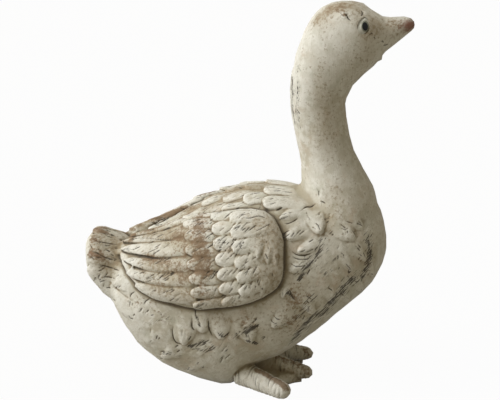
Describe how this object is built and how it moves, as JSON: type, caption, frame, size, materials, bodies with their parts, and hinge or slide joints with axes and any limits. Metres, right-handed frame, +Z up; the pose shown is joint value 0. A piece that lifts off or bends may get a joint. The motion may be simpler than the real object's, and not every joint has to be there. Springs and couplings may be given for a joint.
{
  "type": "goose figurine",
  "caption": "Standing goose cast in one piece, with folded feathered wings, a fanned tail and webbed feet; whitewashed terracotta garden ornament.",
  "frame": {"origin": "on the ground, under the middle of the figurine's box", "axes": "+X towards the beak, +Z up, +Y to the goose's left"},
  "size_m": [0.3346, 0.1852, 0.3996],
  "materials": {
    "whitewashed_terracotta": "matt fired clay under a worn cream whitewash, with brown feather tips, dark brushed scratches and painted black eyes"
  },
  "bodies": {
    "root": {"goose_figurine": "whitewashed_terracotta"}
  },
  "joints": []
}
